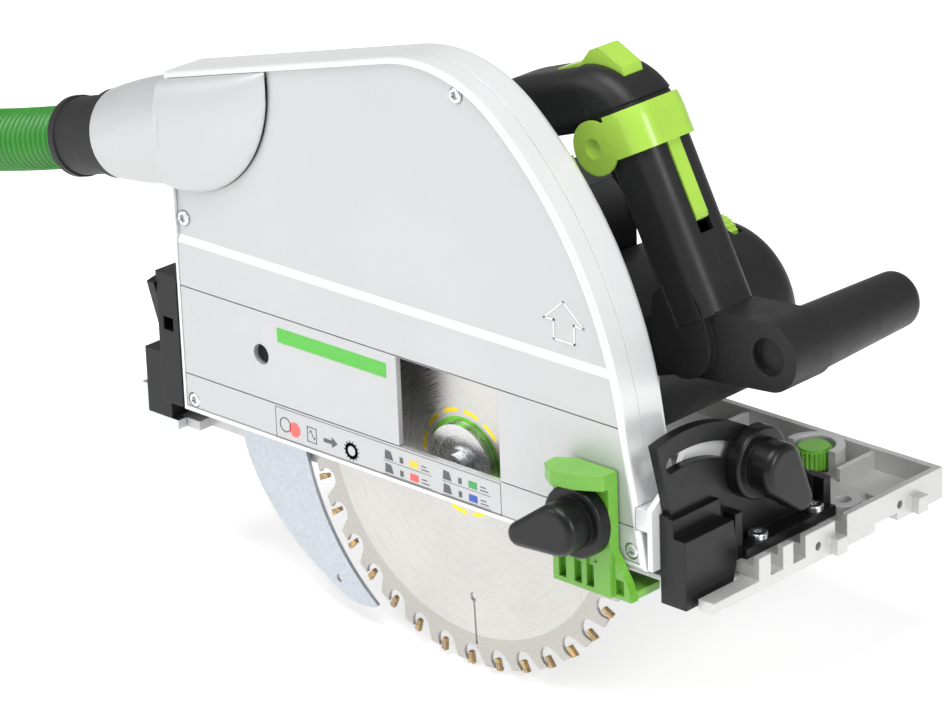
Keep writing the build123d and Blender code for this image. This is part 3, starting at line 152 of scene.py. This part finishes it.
# ---- Materials -------------------------------------------------------------------------------------
class Surface:
    """A Principled material and the few procedural moves that the finishes share."""

    def __init__(self, name, colour, rough, metal=0.0, coat=0.0, specular=0.5, bevel=0.0):
        self.material = bpy.data.materials.new(name)
        self.material.use_nodes = True
        self.tree = self.material.node_tree
        self.shader = self.tree.nodes["Principled BSDF"]
        self.coords = self.tree.nodes.new("ShaderNodeTexCoord").outputs["Object"]
        self.set("Base Color", (*colour, 1))
        self.set("Roughness", rough)
        self.set("Metallic", metal)
        self.set("Coat Weight", coat)
        self.set("Coat Roughness", 0.12)
        self.set("Specular IOR Level", specular)
        self.colour, self.rough = (*colour, 1), rough
        self.tint = self.normal = None
        if bevel:
            node = self.add("ShaderNodeBevel")
            node.samples = 4
            node.inputs["Radius"].default_value = bevel
            self.normal = node.outputs["Normal"]
            self.tree.links.new(self.normal, self.shader.inputs["Normal"])

    def set(self, socket, value):
        self.shader.inputs[socket].default_value = value

    def add(self, kind, **settings):
        node = self.tree.nodes.new(kind)
        for key, value in settings.items():
            setattr(node, key, value)
        return node

    def wire(self, source, node, socket):
        """Links an output, or sets a plain value, on a node's input."""
        if hasattr(source, "is_output"):
            self.tree.links.new(source, node.inputs[socket])
        else:
            node.inputs[socket].default_value = source

    def math(self, operation, a, b=0.0):
        node = self.add("ShaderNodeMath", operation=operation)
        self.wire(a, node, 0)
        self.wire(b, node, 1)
        return node.outputs[0]

    def noise(self, scale, detail=3.0, stretch=(1, 1, 1), vector=None):
        mapping = self.add("ShaderNodeMapping")
        mapping.inputs["Scale"].default_value = stretch
        self.tree.links.new(vector or self.coords, mapping.inputs["Vector"])
        node = self.add("ShaderNodeTexNoise")
        self.tree.links.new(mapping.outputs[0], node.inputs["Vector"])
        node.inputs["Scale"].default_value = scale
        node.inputs["Detail"].default_value = detail
        return node.outputs["Fac"]

    def cells(self, scale):
        node = self.add("ShaderNodeTexVoronoi")
        self.tree.links.new(self.coords, node.inputs["Vector"])
        node.inputs["Scale"].default_value = scale
        return node.outputs["Distance"]

    def remap(self, source, low, high, to_low, to_high):
        node = self.add("ShaderNodeMapRange")
        self.tree.links.new(source, node.inputs["Value"])
        limits = {"From Min": low, "From Max": high, "To Min": to_low, "To Max": to_high}
        for socket, value in limits.items():
            node.inputs[socket].default_value = value
        return node.outputs["Result"]

    def paint(self, factor, colour):
        """Lays a colour over what is there where factor is 1."""
        node = self.add("ShaderNodeMix", data_type="RGBA")
        self.wire(factor, node, "Factor")
        if self.tint:
            self.tree.links.new(self.tint, node.inputs[6])
        else:
            node.inputs[6].default_value = self.colour
        self.wire(colour if hasattr(colour, "is_output") else (*colour, 1), node, 7)
        self.tint = node.outputs[2]
        self.tree.links.new(self.tint, self.shader.inputs["Base Color"])

    def vary_colour(self, source, amount):
        """Multiplies the colour by 1 plus or minus amount."""
        factor = self.remap(source, 0.25, 0.75, 1 - amount, 1 + amount)
        node = self.add("ShaderNodeVectorMath", operation="SCALE")
        if self.tint:
            self.tree.links.new(self.tint, node.inputs[0])
        else:
            node.inputs[0].default_value = self.colour[:3]
        self.tree.links.new(factor, node.inputs["Scale"])
        self.tint = node.outputs[0]
        self.tree.links.new(self.tint, self.shader.inputs["Base Color"])

    def vary_gloss(self, source, amount):
        value = self.remap(source, 0.25, 0.75, self.rough - amount, self.rough + amount)
        self.tree.links.new(value, self.shader.inputs["Roughness"])

    def grain(self, source, strength, distance=0.0002):
        node = self.add("ShaderNodeBump")
        node.inputs["Strength"].default_value = strength
        node.inputs["Distance"].default_value = distance
        self.tree.links.new(source, node.inputs["Height"])
        if self.normal:
            self.tree.links.new(self.normal, node.inputs["Normal"])
        self.normal = node.outputs["Normal"]
        self.tree.links.new(self.normal, self.shader.inputs["Normal"])

    def edge_wear(self, radius, colour, strength):
        """Lightens convex edges, broken up by noise, as handling does."""
        bevel = self.add("ShaderNodeBevel")
        bevel.samples = 4
        bevel.inputs["Radius"].default_value = radius
        geometry = self.add("ShaderNodeNewGeometry")
        dot = self.add("ShaderNodeVectorMath", operation="DOT_PRODUCT")
        self.tree.links.new(bevel.outputs[0], dot.inputs[0])
        self.tree.links.new(geometry.outputs["Normal"], dot.inputs[1])
        edge = self.remap(dot.outputs["Value"], 0.97, 0.80, 0.0, strength)
        broken = self.remap(self.noise(350.0, 4.0), 0.35, 0.6, 0.15, 1.0)
        self.paint(self.math("MULTIPLY", edge, broken), colour)


def lacquer_surface(name, colour, rough, flake=0.05, metal=0.35):
    """Metallic lacquer: fine flakes, a faint orange peel and slightly rubbed edges."""
    surface = Surface(name, colour, rough, metal=metal, coat=0.25, bevel=0.0007)
    surface.vary_colour(surface.noise(5200.0, 1.0), flake)
    surface.vary_colour(surface.noise(14.0, 3.0), 0.025)
    surface.vary_gloss(surface.noise(60.0, 4.0), 0.05)
    surface.edge_wear(0.0009, tuple(min(1.0, c * 1.25) for c in colour), 0.5)
    surface.grain(surface.noise(1500.0, 2.0), 0.10, 0.0001)
    return surface


def lacquer(name, colour, rough):
    return lacquer_surface(name, colour, rough).material


def creased_lacquer_with_painted_highlight():
    """The cover's lacquer, with a painted highlight: a lighter band along its pressed crease stands in for
    the light its angled facet catches.
    """
    surface = lacquer_surface("cover_lacquer_painted_highlight", (0.50, 0.505, 0.51), 0.40, 0.06)
    parts = surface.add("ShaderNodeSeparateXYZ")
    surface.tree.links.new(surface.coords, parts.inputs[0])
    from_middle = surface.math("ABSOLUTE", surface.math("SUBTRACT", parts.outputs["Z"], CREASE_Z))
    # Painted highlight: this lighter band along the crease stands in for light caught by its angled facet.
    band = surface.remap(from_middle, 0.0012, 0.0022, 0.75, 0.0)
    surface.paint(band, (0.90, 0.905, 0.91))
    return surface.material


def moulded(name, colour, rough, grain=0.25, coat=0.0, scale=1600.0, wear=0.25, specular=0.5):
    """Moulded plastic with a spark-eroded grain, soft sheen variation and lighter worn edges."""
    surface = Surface(name, colour, rough, coat=coat, specular=specular, bevel=0.0008)
    surface.vary_colour(surface.noise(30.0, 4.0), 0.07)
    surface.vary_gloss(surface.noise(90.0, 4.0), 0.07)
    surface.edge_wear(0.0010, tuple(min(1.0, c * 1.5 + 0.01) for c in colour), wear)
    surface.grain(surface.cells(scale), grain, 0.00012)
    return surface.material


def machined(name, colour, rough, stretch=(1, 1, 1), scale=900.0):
    """Bare or plated steel: directional turning marks and patchy gloss."""
    surface = Surface(name, colour, rough, metal=1.0, bevel=0.0004)
    surface.vary_colour(surface.noise(25.0, 4.0), 0.06)
    surface.vary_gloss(surface.noise(scale, 2.0, stretch), 0.10)
    surface.grain(surface.noise(scale, 2.0, stretch), 0.12, 0.00006)
    return surface.material


def cast(name, colour, rough):
    """Blasted die casting: fine pebbled skin, slightly uneven tone and lighter worn edges."""
    surface = Surface(name, colour, rough, metal=0.45, bevel=0.0008)
    surface.vary_colour(surface.noise(18.0, 5.0), 0.05)
    surface.vary_colour(surface.noise(1400.0, 2.0), 0.05)
    surface.vary_gloss(surface.noise(120.0, 3.0), 0.06)
    surface.edge_wear(0.0010, (0.95, 0.95, 0.94), 0.45)
    surface.grain(surface.cells(1100.0), 0.35, 0.00012)
    return surface.material


def polar(surface):
    """Radius in millimetres from the arbor and angle in turns, for rings printed on the blade."""
    parts = surface.add("ShaderNodeSeparateXYZ")
    surface.tree.links.new(surface.coords, parts.inputs[0])
    dx = surface.math("SUBTRACT", parts.outputs["X"], ARBOR.x)
    dz = surface.math("SUBTRACT", parts.outputs["Z"], ARBOR.z)
    square = surface.math("ADD", surface.math("MULTIPLY", dx, dx), surface.math("MULTIPLY", dz, dz))
    radius = surface.math("MULTIPLY", surface.math("SQRT", square), 1000.0)
    angle = surface.math("DIVIDE", surface.math("ARCTAN2", dz, dx), math.tau)
    return radius, angle, parts.outputs["Y"]


def ring_mask(surface, radius, low, high):
    inside = surface.math("GREATER_THAN", radius, low)
    return surface.math("MULTIPLY", inside, surface.math("LESS_THAN", radius, high))


def blade_finish():
    """Ground steel with concentric marks, a darker tensioned band and two printed rings."""
    surface = Surface("ground_blade", (0.50, 0.49, 0.47), 0.30, metal=1.0, bevel=0.0002)
    surface.set("Anisotropic", 0.55)
    tangent = surface.add("ShaderNodeTangent", direction_type="RADIAL", axis="Y")
    surface.tree.links.new(tangent.outputs[0], surface.shader.inputs["Tangent"])
    radius, angle, depth = polar(surface)
    ring_space = surface.add("ShaderNodeCombineXYZ")
    surface.tree.links.new(radius, ring_space.inputs[0])
    surface.tree.links.new(surface.math("MULTIPLY", angle, 9.0), ring_space.inputs[1])
    marks = surface.noise(2.2, 5.0, vector=ring_space.outputs[0])
    surface.vary_colour(marks, 0.10)
    surface.vary_colour(surface.noise(22.0, 4.0), 0.06)
    tensioned = surface.math("MULTIPLY", ring_mask(surface, radius, 88.5, 120.0), 0.45)
    surface.paint(tensioned, (0.30, 0.28, 0.25))
    outside = surface.math("LESS_THAN", depth, BLADE_Y)
    green = surface.math("MULTIPLY", ring_mask(surface, radius, 20.4, 22.8), outside)
    surface.paint(green, (0.16, 0.50, 0.05))
    dash = surface.math("GREATER_THAN", surface.math("FRACT", surface.math("MULTIPLY", angle, 12.0)), 0.28)
    dashed = surface.math("MULTIPLY", ring_mask(surface, radius, 25.0, 27.0), dash)
    yellow = surface.math("MULTIPLY", dashed, outside)
    surface.paint(yellow, (0.85, 0.62, 0.03))
    surface.vary_gloss(marks, 0.10)
    surface.grain(marks, 0.15, 0.00005)
    return surface.material


def carbide_finish():
    surface = Surface("carbide", (0.34, 0.25, 0.15), 0.38, metal=0.85, bevel=0.0002)
    surface.vary_colour(surface.noise(600.0, 3.0), 0.25)
    surface.paint(surface.remap(surface.noise(300.0, 2.0), 0.5, 0.65, 0.0, 0.7), (0.62, 0.40, 0.12))
    surface.grain(surface.noise(2600.0, 2.0), 0.2, 0.0001)
    return surface.material


def hose_finish():
    surface = Surface("hose_green", (0.030, 0.235, 0.022), 0.42, coat=0.1)
    surface.vary_colour(surface.noise(70.0, 4.0), 0.12)
    surface.vary_gloss(surface.noise(140.0, 3.0), 0.08)
    surface.grain(surface.noise(1800.0, 2.0), 0.15, 0.0001)
    return surface.material


def galvanised():
    """Zinc-coated sheet: a mottled bloom, a little bluer and darker than plated screws."""
    surface = Surface("galvanised_sheet", (0.47, 0.50, 0.54), 0.42, metal=0.9, bevel=0.0003)
    surface.vary_colour(surface.cells(420.0), 0.04)
    surface.vary_colour(surface.noise(900.0, 3.0), 0.05)
    surface.vary_gloss(surface.noise(300.0, 4.0), 0.06)
    surface.grain(surface.noise(1800.0, 2.0), 0.12, 0.00008)
    return surface.material


def wound_copper():
    surface = Surface("wound_copper", (0.48, 0.20, 0.08), 0.35, metal=0.8, bevel=0.0004)
    bands = surface.noise(1.0, 1.0, (30.0, 900.0, 30.0))
    surface.vary_colour(bands, 0.3)
    surface.grain(bands, 0.4, 0.0002)
    return surface.material


FINISHES = {
    "silver_paint": lacquer("silver_lacquer", (0.74, 0.745, 0.75), 0.34),
    "cover_silver": creased_lacquer_with_painted_highlight(),
    "base_cast": cast("blasted_aluminium", (0.56, 0.56, 0.555), 0.46),
    "gearbox_cast": cast("gearbox_casting", (0.30, 0.305, 0.31), 0.48),
    "anthracite_plastic": moulded(
        "anthracite_plastic", (0.011, 0.011, 0.012), 0.44, 0.30, specular=0.32,
    ),
    "black_plastic": moulded("black_plastic", (0.006, 0.006, 0.0065), 0.34, 0.15, specular=0.30),
    "lime_plastic": moulded("lime_plastic", (0.31, 0.53, 0.055), 0.30, 0.10, 0.2, 2200.0, 0.15),
    "green_plastic": moulded("green_plastic", (0.13, 0.38, 0.03), 0.30, 0.10, 0.2, 2200.0, 0.15),
    "hose_green": hose_finish(),
    "cuff_rubber": moulded(
        "cuff_rubber", (0.014, 0.014, 0.015), 0.55, 0.3, 0.0, 1300.0, 0.1, 0.35,
    ),
    "zinc_steel": machined("zinc_plate", (0.66, 0.67, 0.69), 0.30, (1, 1, 1), 700.0),
    "blade_steel": blade_finish(),
    "carbide": carbide_finish(),
    "machined_steel": machined("turned_steel", (0.56, 0.56, 0.56), 0.28, (1, 9, 1), 500.0),
    "copper_pack": wound_copper(),
    "glide_strip": moulded("glide_strip", (0.16, 0.16, 0.16), 0.5, 0.1),
}


def finish_cad_nodes():
    """Every CAD node takes the finish of its record slot."""
    for part in frame["record"]["subparts"]:
        mesh = NODES[part["node"]].data
        mesh.materials.clear()
        mesh.materials.append(FINISHES[part["material_slot"]])
    NODES["riving_knife"].data.materials[0] = galvanised()


# ---- Pieces -----------------------------------------------------------------------------------------
def skin(name, rows, closed, finish, body, caps=()):
    """A smooth surface through rows of points, riding on a body."""
    bm = bmesh.new()
    rings = [[bm.verts.new(point) for point in row] for row in rows]
    count = len(rings[0])
    for a, b in zip(rings, rings[1:]):
        for i in range(count if closed else count - 1):
            j = (i + 1) % count
            bm.faces.new((a[i], a[j], b[j], b[i]))
    for index in caps:
        bm.faces.new(rings[index])
    piece = add_mesh(name, bm)
    piece.data.materials.append(FINISHES[finish])
    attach(piece, body)
    return piece


# The hose, millimetres: its route in x and z, then its plane, outer radius, pitch and rib height.
HOSE_ROUTE = [
    (-256.8, 137.2), (-297.4, 126.3), (-338.5, 117.6), (-378.9, 106.0), (-417.8, 90.3), (-454.2, 69.3),
]
HOSE_Y, HOSE_R, HOSE_PITCH, HOSE_RIB = -83.0, 16.0, 4.0, 2.3
HOSE_STEP, HOSE_SIDES = 0.5, 40


def hose_centreline():
    """Points along the hose's route, close together, in metres."""
    data = bpy.data.curves.new("hose_route", "CURVE")
    data.dimensions = "3D"
    spline = data.splines.new("NURBS")
    spline.points.add(len(HOSE_ROUTE) - 1)
    for point, (x, z) in zip(spline.points, HOSE_ROUTE):
        point.co = (x * MM, HOSE_Y * MM, z * MM, 1)
    spline.order_u = 3
    spline.use_endpoint_u = True
    spline.resolution_u = 40
    line = bpy.data.objects.new("hose_route", data)
    bpy.context.scene.collection.objects.link(line)
    mesh = bpy.data.meshes.new_from_object(line)
    points = [v.co.copy() for v in mesh.vertices]
    bpy.data.objects.remove(line)
    return points


def ribbed_hose():
    """Helically ribbed suction hose from the swivel cuff to the end sleeve."""
    line = hose_centreline()
    lengths = [0.0]
    for a, b in zip(line, line[1:]):
        lengths.append(lengths[-1] + (b - a).length)
    rows, k = [], 0
    count = int(lengths[-1] / (HOSE_STEP * MM))
    for i in range(count + 1):
        along = lengths[-1] * i / count
        while k < len(line) - 2 and lengths[k + 1] < along:
            k += 1
        ahead = (line[k + 1] - line[k]).normalized()
        middle = line[k] + ahead * (along - lengths[k])
        across = Vector((0, 1, 0))
        up = ahead.cross(across)
        row = []
        for j in range(HOSE_SIDES):
            t = math.tau * j / HOSE_SIDES
            wave = 0.5 + 0.5 * math.cos(math.tau * along / (HOSE_PITCH * MM) + t)
            r = (HOSE_R - HOSE_RIB + HOSE_RIB * wave ** 0.7) * MM
            row.append(middle + across * (r * math.cos(t)) + up * (r * math.sin(t)))
        rows.append(row)
    hose = skin("ribbed_hose", rows, True, "hose_green", "hose", (0, -1))
    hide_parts("suction_hose")


# The dust channel, millimetres: its round mouth, where the neck ends, and the bulge on the cover.
MOUTH, MOUTH_TILT, MOUTH_R = Vector((-222.0, -83.0, 146.5)), math.radians(15), 22.9
NECK_END = Vector((-173.0, -88.6, 161.2))
NECK_ROWS, NECK_SIDES = 22, 72
BULGE_ROWS, BULGE_SIDES = 40, 49
BULGE_START_X, BULGE_LENGTH, BULGE_RISE, BULGE_Y = -177.0, 71.6, 8.4, -97.45
BULGE_CENTRE_X, BULGE_CENTRE_Z, BULGE_R = -169.0, 197.0, 64.0


def dust_neck_rows():
    """A round mouth that swells and grows square towards the guard."""
    rows = []
    mouth_up, guard_up = Vector((-math.sin(MOUTH_TILT), 0, math.cos(MOUTH_TILT))), Vector((0, 0, 1))
    for i in range(NECK_ROWS):
        s = i / (NECK_ROWS - 1)
        swell = 1 - (1 - s) ** 2
        middle = MOUTH.lerp(NECK_END, s)
        up = mouth_up.lerp(guard_up, s).normalized()
        half_y, half_up = MOUTH_R - 5.6 * swell, MOUTH_R + 4.6 * swell
        power = 2 / (2 + 0.5 * s)
        row = []
        for j in range(NECK_SIDES):
            t = math.tau * j / NECK_SIDES
            c, q = math.cos(t), math.sin(t)
            y = -half_y * math.copysign(abs(c) ** power, c)
            height = half_up * math.copysign(abs(q) ** power, q)
            row.append((middle + Vector((0, y, 0)) + up * height) * MM)
        rows.append(row)
    return rows


def dust_bulge_rows():
    """A shallow bulge between a round lower edge and the cover's sloping top, dying out forwards."""
    rows = []
    for i in range(BULGE_ROWS):
        x = BULGE_START_X + BULGE_LENGTH * math.sin(math.pi / 2 * i / (BULGE_ROWS - 1))
        low = BULGE_CENTRE_Z - math.sqrt(max(0.0, BULGE_R ** 2 - (x - BULGE_CENTRE_X) ** 2))
        high = 228.8 + (x + 26.0) * math.tan(math.radians(14.1)) - 3.3
        rise = BULGE_RISE * math.sqrt(max(0.02, 1 - ((x - BULGE_START_X) / 72.0) ** 2))
        row = []
        for j in range(BULGE_SIDES):
            t = math.pi * (j / (BULGE_SIDES - 1) - 0.5)
            y = BULGE_Y - rise * math.cos(t) ** 0.9
            row.append(Vector((x, y, (low + high) / 2 + (high - low) / 2 * math.sin(t))) * MM)
        rows.append(row)
    return rows


def dust_bulge():
    """The dust channel's outer form: the neck, and the bulge that dies into the cover."""
    neck = skin("dust_neck", dust_neck_rows(), True, "cover_silver", "guard")
    bulge = skin("dust_bulge", dust_bulge_rows(), False, "cover_silver", "guard", (-1,))
    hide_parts("dust_dome")
    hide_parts("dust_dome")


def slab_mesh(bm, outline, near, far):
    """A prism on an outline in x and z, in millimetres, between two values of y."""
    front = [bm.verts.new((x * MM, near * MM, z * MM)) for x, z in outline]
    back = [bm.verts.new((x * MM, far * MM, z * MM)) for x, z in outline]
    bm.faces.new(front)
    bm.faces.new(back[::-1])
    for i in range(len(outline)):
        j = (i + 1) % len(outline)
        bm.faces.new((front[i], back[i], back[j], front[j]))


def printed(name, outlines, finish, near=COVER_FACE_Y - 0.22, far=COVER_FACE_Y):
    """Thin printed or moulded shapes on the outside of the guard."""
    bm = bmesh.new()
    for outline in outlines:
        slab_mesh(bm, outline, near, far)
    piece = add_mesh(name, bm, smooth=False)
    piece.data.materials.append(finish)
    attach(piece, "guard")


def stroke(points, width, loop=True):
    """Quads that draw a line of that width through the points."""
    quads = []
    ends = points[1:] + points[:1] if loop else points[1:]
    for (x0, z0), (x1, z1) in zip(points, ends):
        length = math.hypot(x1 - x0, z1 - z0)
        ux, uz = (x1 - x0) / length * width / 2, (z1 - z0) / length * width / 2
        quads.append([
            (x0 - ux - uz, z0 - uz + ux), (x1 + ux - uz, z1 + uz + ux),
            (x1 + ux + uz, z1 + uz - ux), (x0 - ux + uz, z0 - uz - ux),
        ])
    return quads


def ngon(x, z, r, count, turn=0.0):
    angles = [turn + math.tau * i / count for i in range(count)]
    return [(x + r * math.cos(t), z + r * math.sin(t)) for t in angles]


def box(x0, x1, z0, z1):
    return [(x0, z0), (x1, z0), (x1, z1), (x0, z1)]


def ink(name, colour):
    """Screen-printed ink: flat, slightly uneven."""
    surface = Surface(name, colour, 0.45)
    surface.vary_colour(surface.noise(400.0, 3.0), 0.08)
    surface.vary_gloss(surface.noise(200.0, 3.0), 0.05)
    surface.grain(surface.noise(2500.0, 2.0), 0.1, 0.0001)
    return surface.material


ARROW = [(0, 10), (12, 0), (6.2, 0), (6.2, -9), (-6.2, -9), (-6.2, 0), (-12, 0)]
ARROW_X, ARROW_Z = 80.0, 125.0
WHEEL_X, WHEEL_Z, WHEEL_TEETH = -58.8, 25.4, 14
PATCHES = (
    ("patch_yellow", (0.85, 0.55, 0.05), box(-20.0, -14.6, 27.9, 31.4)),
    ("patch_red", (0.80, 0.10, 0.09), box(-20.0, -14.6, 21.1, 24.6)),
    ("patch_green", (0.05, 0.33, 0.10), box(18.0, 23.4, 27.9, 31.4)),
    ("patch_blue", (0.03, 0.09, 0.42), box(18.0, 23.4, 21.1, 24.6)),
    ("stop_octagon", (0.85, 0.13, 0.12), ngon(-97.2, 26.0, 4.0, 8, math.pi / 8)),
    ("green_bar", (0.09, 0.46, 0.05), box(-106.0, -33.0, 69.5, 77.0)),
)


def toothed_wheel():
    """A small wheel sign: a thick ring with triangular teeth."""
    marks = []
    root, tip = 4.0, 5.3
    for i in range(WHEEL_TEETH):
        t = math.tau * i / WHEEL_TEETH
        corners = ((root, t - 0.2), (tip, t), (root, t + 0.2))
        marks.append([(WHEEL_X + r * math.cos(a), WHEEL_Z + r * math.sin(a)) for r, a in corners])
    return marks + stroke(ngon(WHEEL_X, WHEEL_Z, 3.3, 24), 1.5)


def setting_table(x):
    """One column of two setting rows: lines, a tool sign, a bar and two dashes each."""
    marks = [box(x, x + 31.0, 26.75, 26.95), box(x, x + 31.0, 19.9, 20.1)]
    for z in (27.8, 21.0):
        marks += [[(x + 0.5, z), (x + 6.0, z), (x + 4.6, z + 4.2), (x + 0.9, z + 4.6)]]
        marks += [box(x + 10.4, x + 12.6, z + 0.3, z + 3.2), box(x + 24.5, x + 29.5, z + 0.5, z + 1.0)]
        marks += [box(x + 24.5, x + 28.0, z + 2.2, z + 2.7)]
    return marks


def label_print():
    """Generic pictograms and colour patches on the lower strip, and a plain green bar above."""
    dark = ink("ink_dark", (0.09, 0.09, 0.095))
    marks = stroke(box(-110.0, 38.5, 18.9, 35.2), 0.25)
    marks += stroke(ngon(-103.6, 27.0, 3.6, 20), 0.45)
    marks += stroke(box(-88.5, -82.5, 22.6, 30.2), 0.4)
    zigzag = [(-87.3, 27.3), (-86.2, 28.6), (-85.2, 26.4), (-84.0, 24.4), (-83.4, 25.6)]
    marks += stroke(zigzag, 0.4, loop=False)
    marks.append([
        (-77.5, 25.2), (-72.0, 25.2), (-72.0, 23.4), (-68.2, 26.2), (-72.0, 29.0), (-72.0, 27.2),
        (-77.5, 27.2),
    ])
    marks += toothed_wheel()
    for x in (-37.0, 1.0):
        marks += setting_table(x)
    printed("label_marks", marks, dark)
    for name, colour, outline in PATCHES:
        printed(name, [outline], ink("ink_" + name, colour))
    printed(
        "cover_arrow", stroke([(ARROW_X + x, ARROW_Z + z) for x, z in ARROW], 0.9), FINISHES["silver_paint"],
        near=ARROW_FACE_Y - 0.4, far=ARROW_FACE_Y,
    )


place_camera()
studio()
finish_cad_nodes()
ribbed_hose()
dust_bulge()
label_print()
